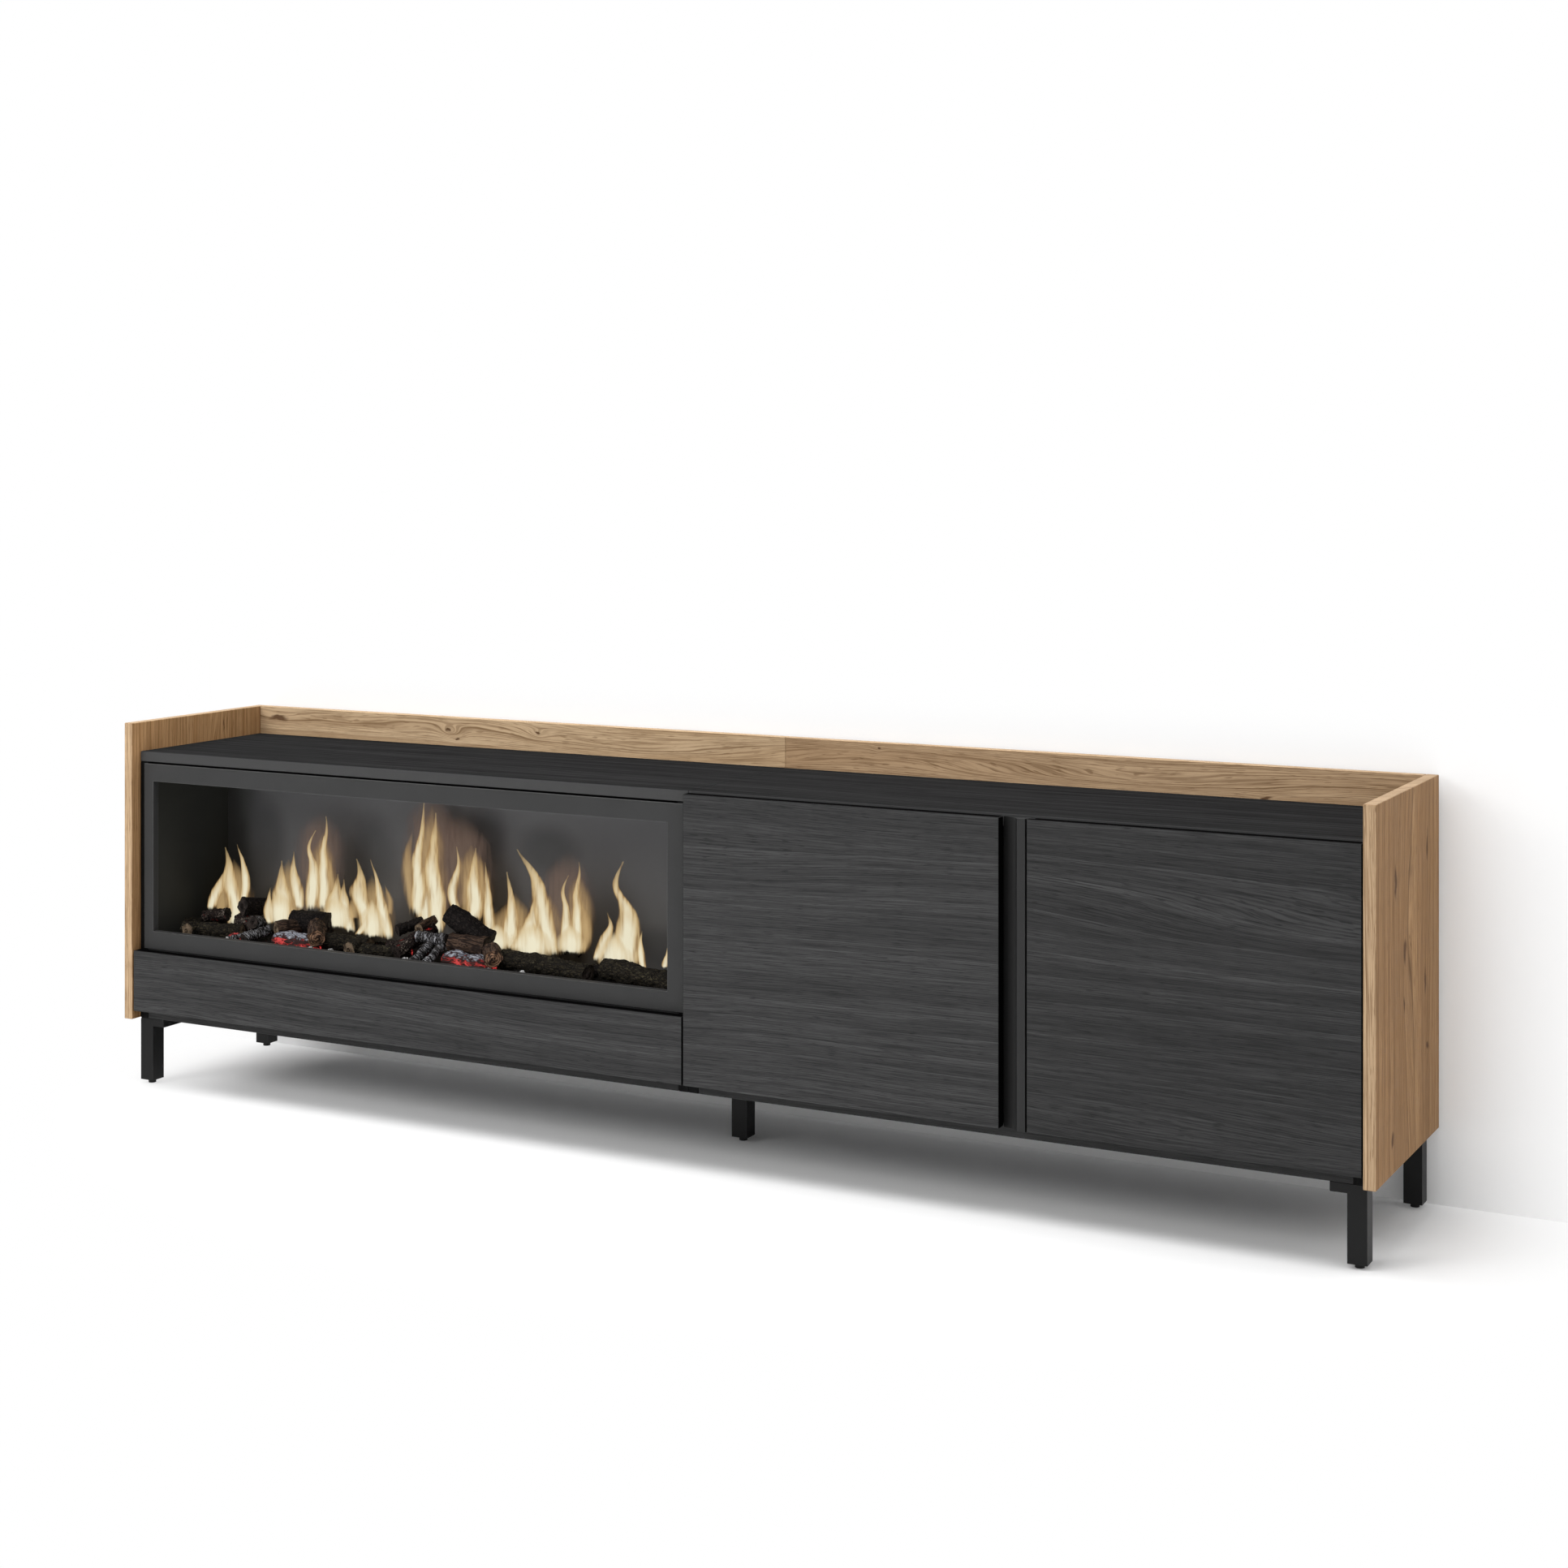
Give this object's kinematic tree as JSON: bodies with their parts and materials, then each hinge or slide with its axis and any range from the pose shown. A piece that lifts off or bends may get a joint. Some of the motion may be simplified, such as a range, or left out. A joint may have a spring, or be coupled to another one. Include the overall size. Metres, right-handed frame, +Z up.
{
  "type": "tv stand",
  "caption": "Low wide television stand: oak-finish sides and back lip, black fronts, an electric fire over a drawer, hinged doors with a scooped grip, and square steel legs.",
  "frame": {"origin": "on the floor, under the middle of the stand's outline", "axes": "+X to the right along the stand as seen from the front, +Y to the back, +Z up; the front faces -Y"},
  "size_m": [2, 0.327, 0.575],
  "materials": {
    "oak": "oak-look melamine, satin",
    "black_wood": "black wood-grain melamine, satin",
    "thin_back": "thin fibreboard, dull black face",
    "drawer_board": "dark melamine, matt",
    "black_steel": "satin black powder coat",
    "pad": "matt black plastic",
    "nickel": "nickel plate",
    "zinc": "zinc plate",
    "frame": "smooth dark grey paint",
    "housing": "matt black paint",
    "screen": "grey diffusing screen, satin",
    "log": "painted moulded resin",
    "mirror": "bright reflector strip",
    "motor": "plated can",
    "circuit": "white solder mask",
    "gland": "black nylon"
  },
  "bodies": {
    "stand": {"oak_side_left": "oak", "oak_side_right": "oak", "upstand_left": "oak", "upstand_right": "oak", "top_left": "black_wood", "top_right": "black_wood", "fire_bay_side_left": "black_wood", "fire_bay_side_right": "black_wood", "door_bay_side_left": "black_wood", "door_bay_side_right": "black_wood", "bottom_left": "black_wood", "bottom_right": "black_wood", "fire_shelf": "black_wood", "divider": "black_wood", "shelf_left": "black_wood", "shelf_right": "black_wood", "back_left": "thin_back", "back_right": "thin_back", "leg_front_left": "black_steel", "leg_front_right": "black_steel", "leg_rear_left": "black_steel", "leg_rear_right": "black_steel", "leg_middle": "black_steel", "foot_front_left": "pad", "foot_front_right": "pad", "foot_rear_left": "pad", "foot_rear_right": "pad", "foot_middle": "pad", "hinge_arm_left_lower": "nickel", "hinge_arm_left_upper": "nickel", "hinge_arm_right_lower": "nickel", "hinge_arm_right_upper": "nickel", "runner_rail_left": "zinc", "runner_rail_right": "zinc", "fire_frame": "frame", "fire_housing": "housing", "flame_screen": "screen", "log_bed": "log", "spindle_motor": "motor", "light_board": "circuit", "cord_gland": "gland"},
    "left_door": {"door_left": "black_wood", "hinge_cup_left_lower": "nickel", "hinge_cup_left_upper": "nickel"},
    "right_door": {"door_right": "black_wood", "grip_strip": "black_wood", "hinge_cup_right_lower": "nickel", "hinge_cup_right_upper": "nickel"},
    "left_door_links": {"hinge_link_left_lower": "nickel", "hinge_link_left_upper": "nickel"},
    "right_door_links": {"hinge_link_right_lower": "nickel", "hinge_link_right_upper": "nickel"},
    "drawer": {"drawer_front": "black_wood", "drawer_side_left": "drawer_board", "drawer_side_right": "drawer_board", "drawer_back": "drawer_board", "drawer_base": "thin_back", "runner_slider_left": "zinc", "runner_slider_right": "zinc"},
    "spindle": {"flame_spindle": "mirror"}
  },
  "joints": [
    {"name": "left_door_swing", "type": "hinge", "parent": "stand", "child": "left_door", "pos_m": [0.0262, -0.1625, 0.1185], "axis": [0, 0, -1], "range_deg": [0, 90]},
    {"name": "right_door_swing", "type": "hinge", "parent": "stand", "child": "right_door", "pos_m": [0.982, -0.1625, 0.1185], "axis": [0, 0, 1], "range_deg": [0, 90]},
    {"name": "left_link_turn", "type": "hinge", "parent": "stand", "child": "left_door_links", "pos_m": [0.0462, -0.1537, 0.1185], "axis": [0, 0, -1], "range_deg": [0, 90]},
    {"name": "right_link_turn", "type": "hinge", "parent": "stand", "child": "right_door_links", "pos_m": [0.962, -0.1537, 0.1185], "axis": [0, 0, 1], "range_deg": [0, 90]},
    {"name": "drawer_slide", "type": "slide", "parent": "stand", "child": "drawer", "axis": [0, -1, 0], "range_m": [0, 0.19]},
    {"name": "spindle_spin", "type": "hinge", "parent": "stand", "child": "spindle", "pos_m": [-0.48665, 0.0883, 0.256], "axis": [1, 0, 0], "continuous": true}
  ],
  "couplings": [
    {"joint": "left_link_turn", "follows": "left_door_swing", "ratio": 1},
    {"joint": "right_link_turn", "follows": "right_door_swing", "ratio": 1}
  ]
}
